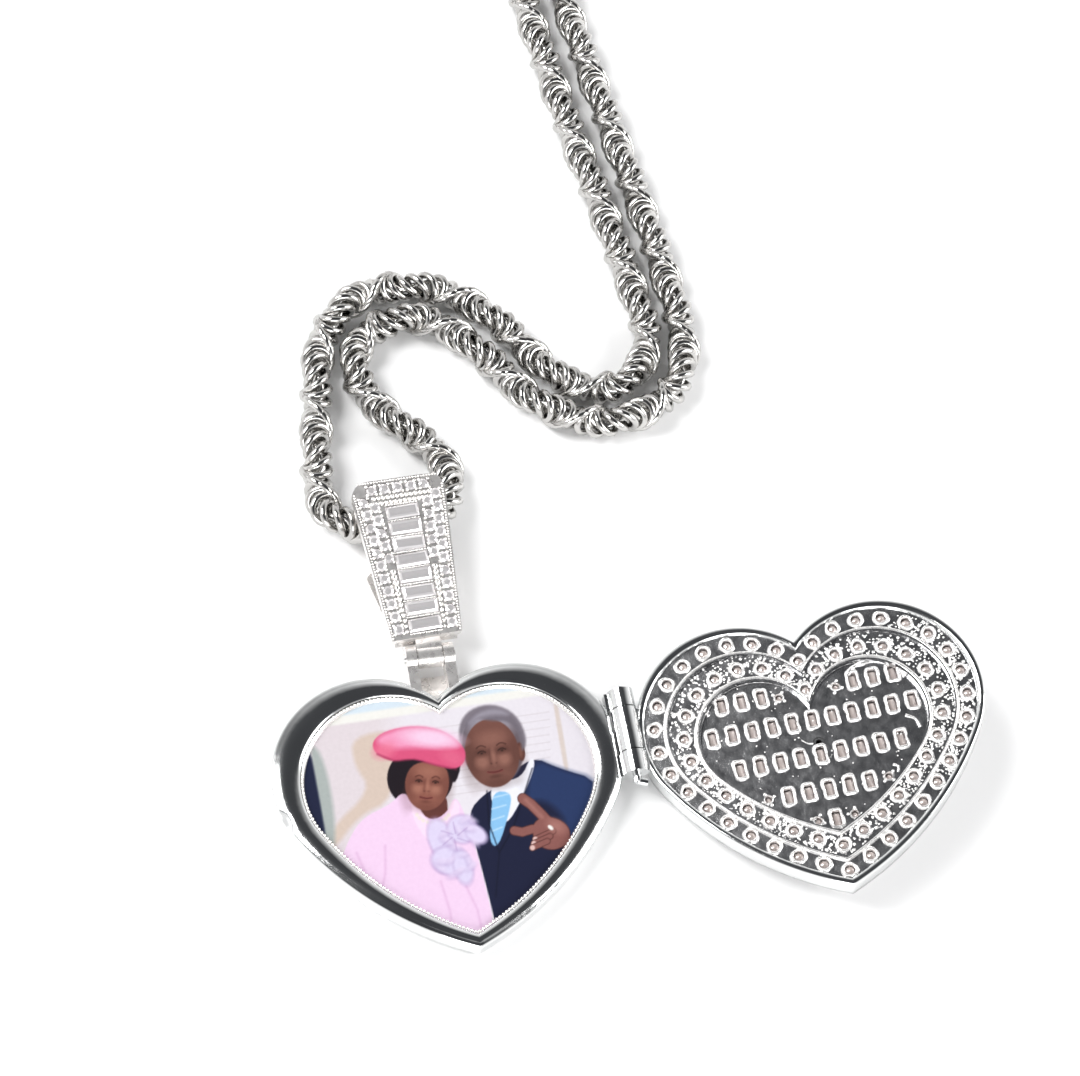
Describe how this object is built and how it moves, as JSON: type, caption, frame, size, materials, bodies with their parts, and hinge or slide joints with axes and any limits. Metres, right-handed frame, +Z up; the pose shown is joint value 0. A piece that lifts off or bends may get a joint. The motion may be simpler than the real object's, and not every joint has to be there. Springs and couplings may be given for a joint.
{
  "type": "locket",
  "caption": "Heart photo locket with hinged stone-set lid, swinging stone-set bail and rope chain ending in a sprung clasp, open with a picture inside.",
  "frame": {"origin": "on the case's flat back, on the line through the middles of the heart's lobes' tops and hinge, halfway across the case", "axes": "+X from the case towards the lid, +Y from the heart's tip towards the bail, +Z up, out of the picture"},
  "size_m": [0.0827, 0.1814, 0.0105],
  "materials": {
    "polished_metal": "high polish",
    "setting_metal": "polished, with cast texture behind the stones",
    "chain_metal": "polished twisted wire",
    "fitting_metal": "polished",
    "crystal": "faceted, clear",
    "backing": "plain plate",
    "print": "printed picture, semi-gloss"
  },
  "bodies": {
    "root": {"bail_body": "setting_metal", "bail_baguettes": "crystal", "bail_round_stones": "crystal", "chain_left": "chain_metal", "chain_right": "chain_metal", "chain_coil": "chain_metal", "left_cap": "fitting_metal", "right_cap": "fitting_metal", "left_jump_ring": "fitting_metal", "right_jump_ring": "fitting_metal", "end_ring": "fitting_metal", "clasp_body": "fitting_metal", "clasp_pivot": "fitting_metal"},
    "case": {"case_shell": "polished_metal", "photo_lip": "setting_metal", "photo_backing": "backing", "photo_print": "print", "case_knuckles": "polished_metal", "hinge_pin": "polished_metal", "bail_lugs": "polished_metal", "cross_pin": "polished_metal"},
    "lid": {"lid_frame": "polished_metal", "lid_plate": "setting_metal", "lid_knuckle": "polished_metal", "lid_outer_stones": "crystal", "lid_inner_stones": "crystal", "lid_baguettes": "crystal", "lid_accent_stones": "crystal"},
    "clasp_lever": {"clasp_gate": "fitting_metal"}
  },
  "joints": [
    {"name": "bail_swing", "type": "hinge", "parent": "root", "child": "case", "pos_m": [0, 0.0116, 0.0023], "axis": [1, 0, 0], "range_deg": [-75, 75]},
    {"name": "lid_hinge", "type": "hinge", "parent": "case", "child": "lid", "pos_m": [0.01888, 0, 0.0032], "axis": [0, -1, 0], "range_deg": [0, 168.6]},
    {"name": "clasp_lever", "type": "hinge", "parent": "root", "child": "clasp_lever", "pos_m": [-0.00419, 0.13695, 0.00181], "axis": [-0.0663, -0.0216, 0.9976], "range_deg": [-18, 0], "stiffness_Nm_per_rad": 0.02}
  ]
}
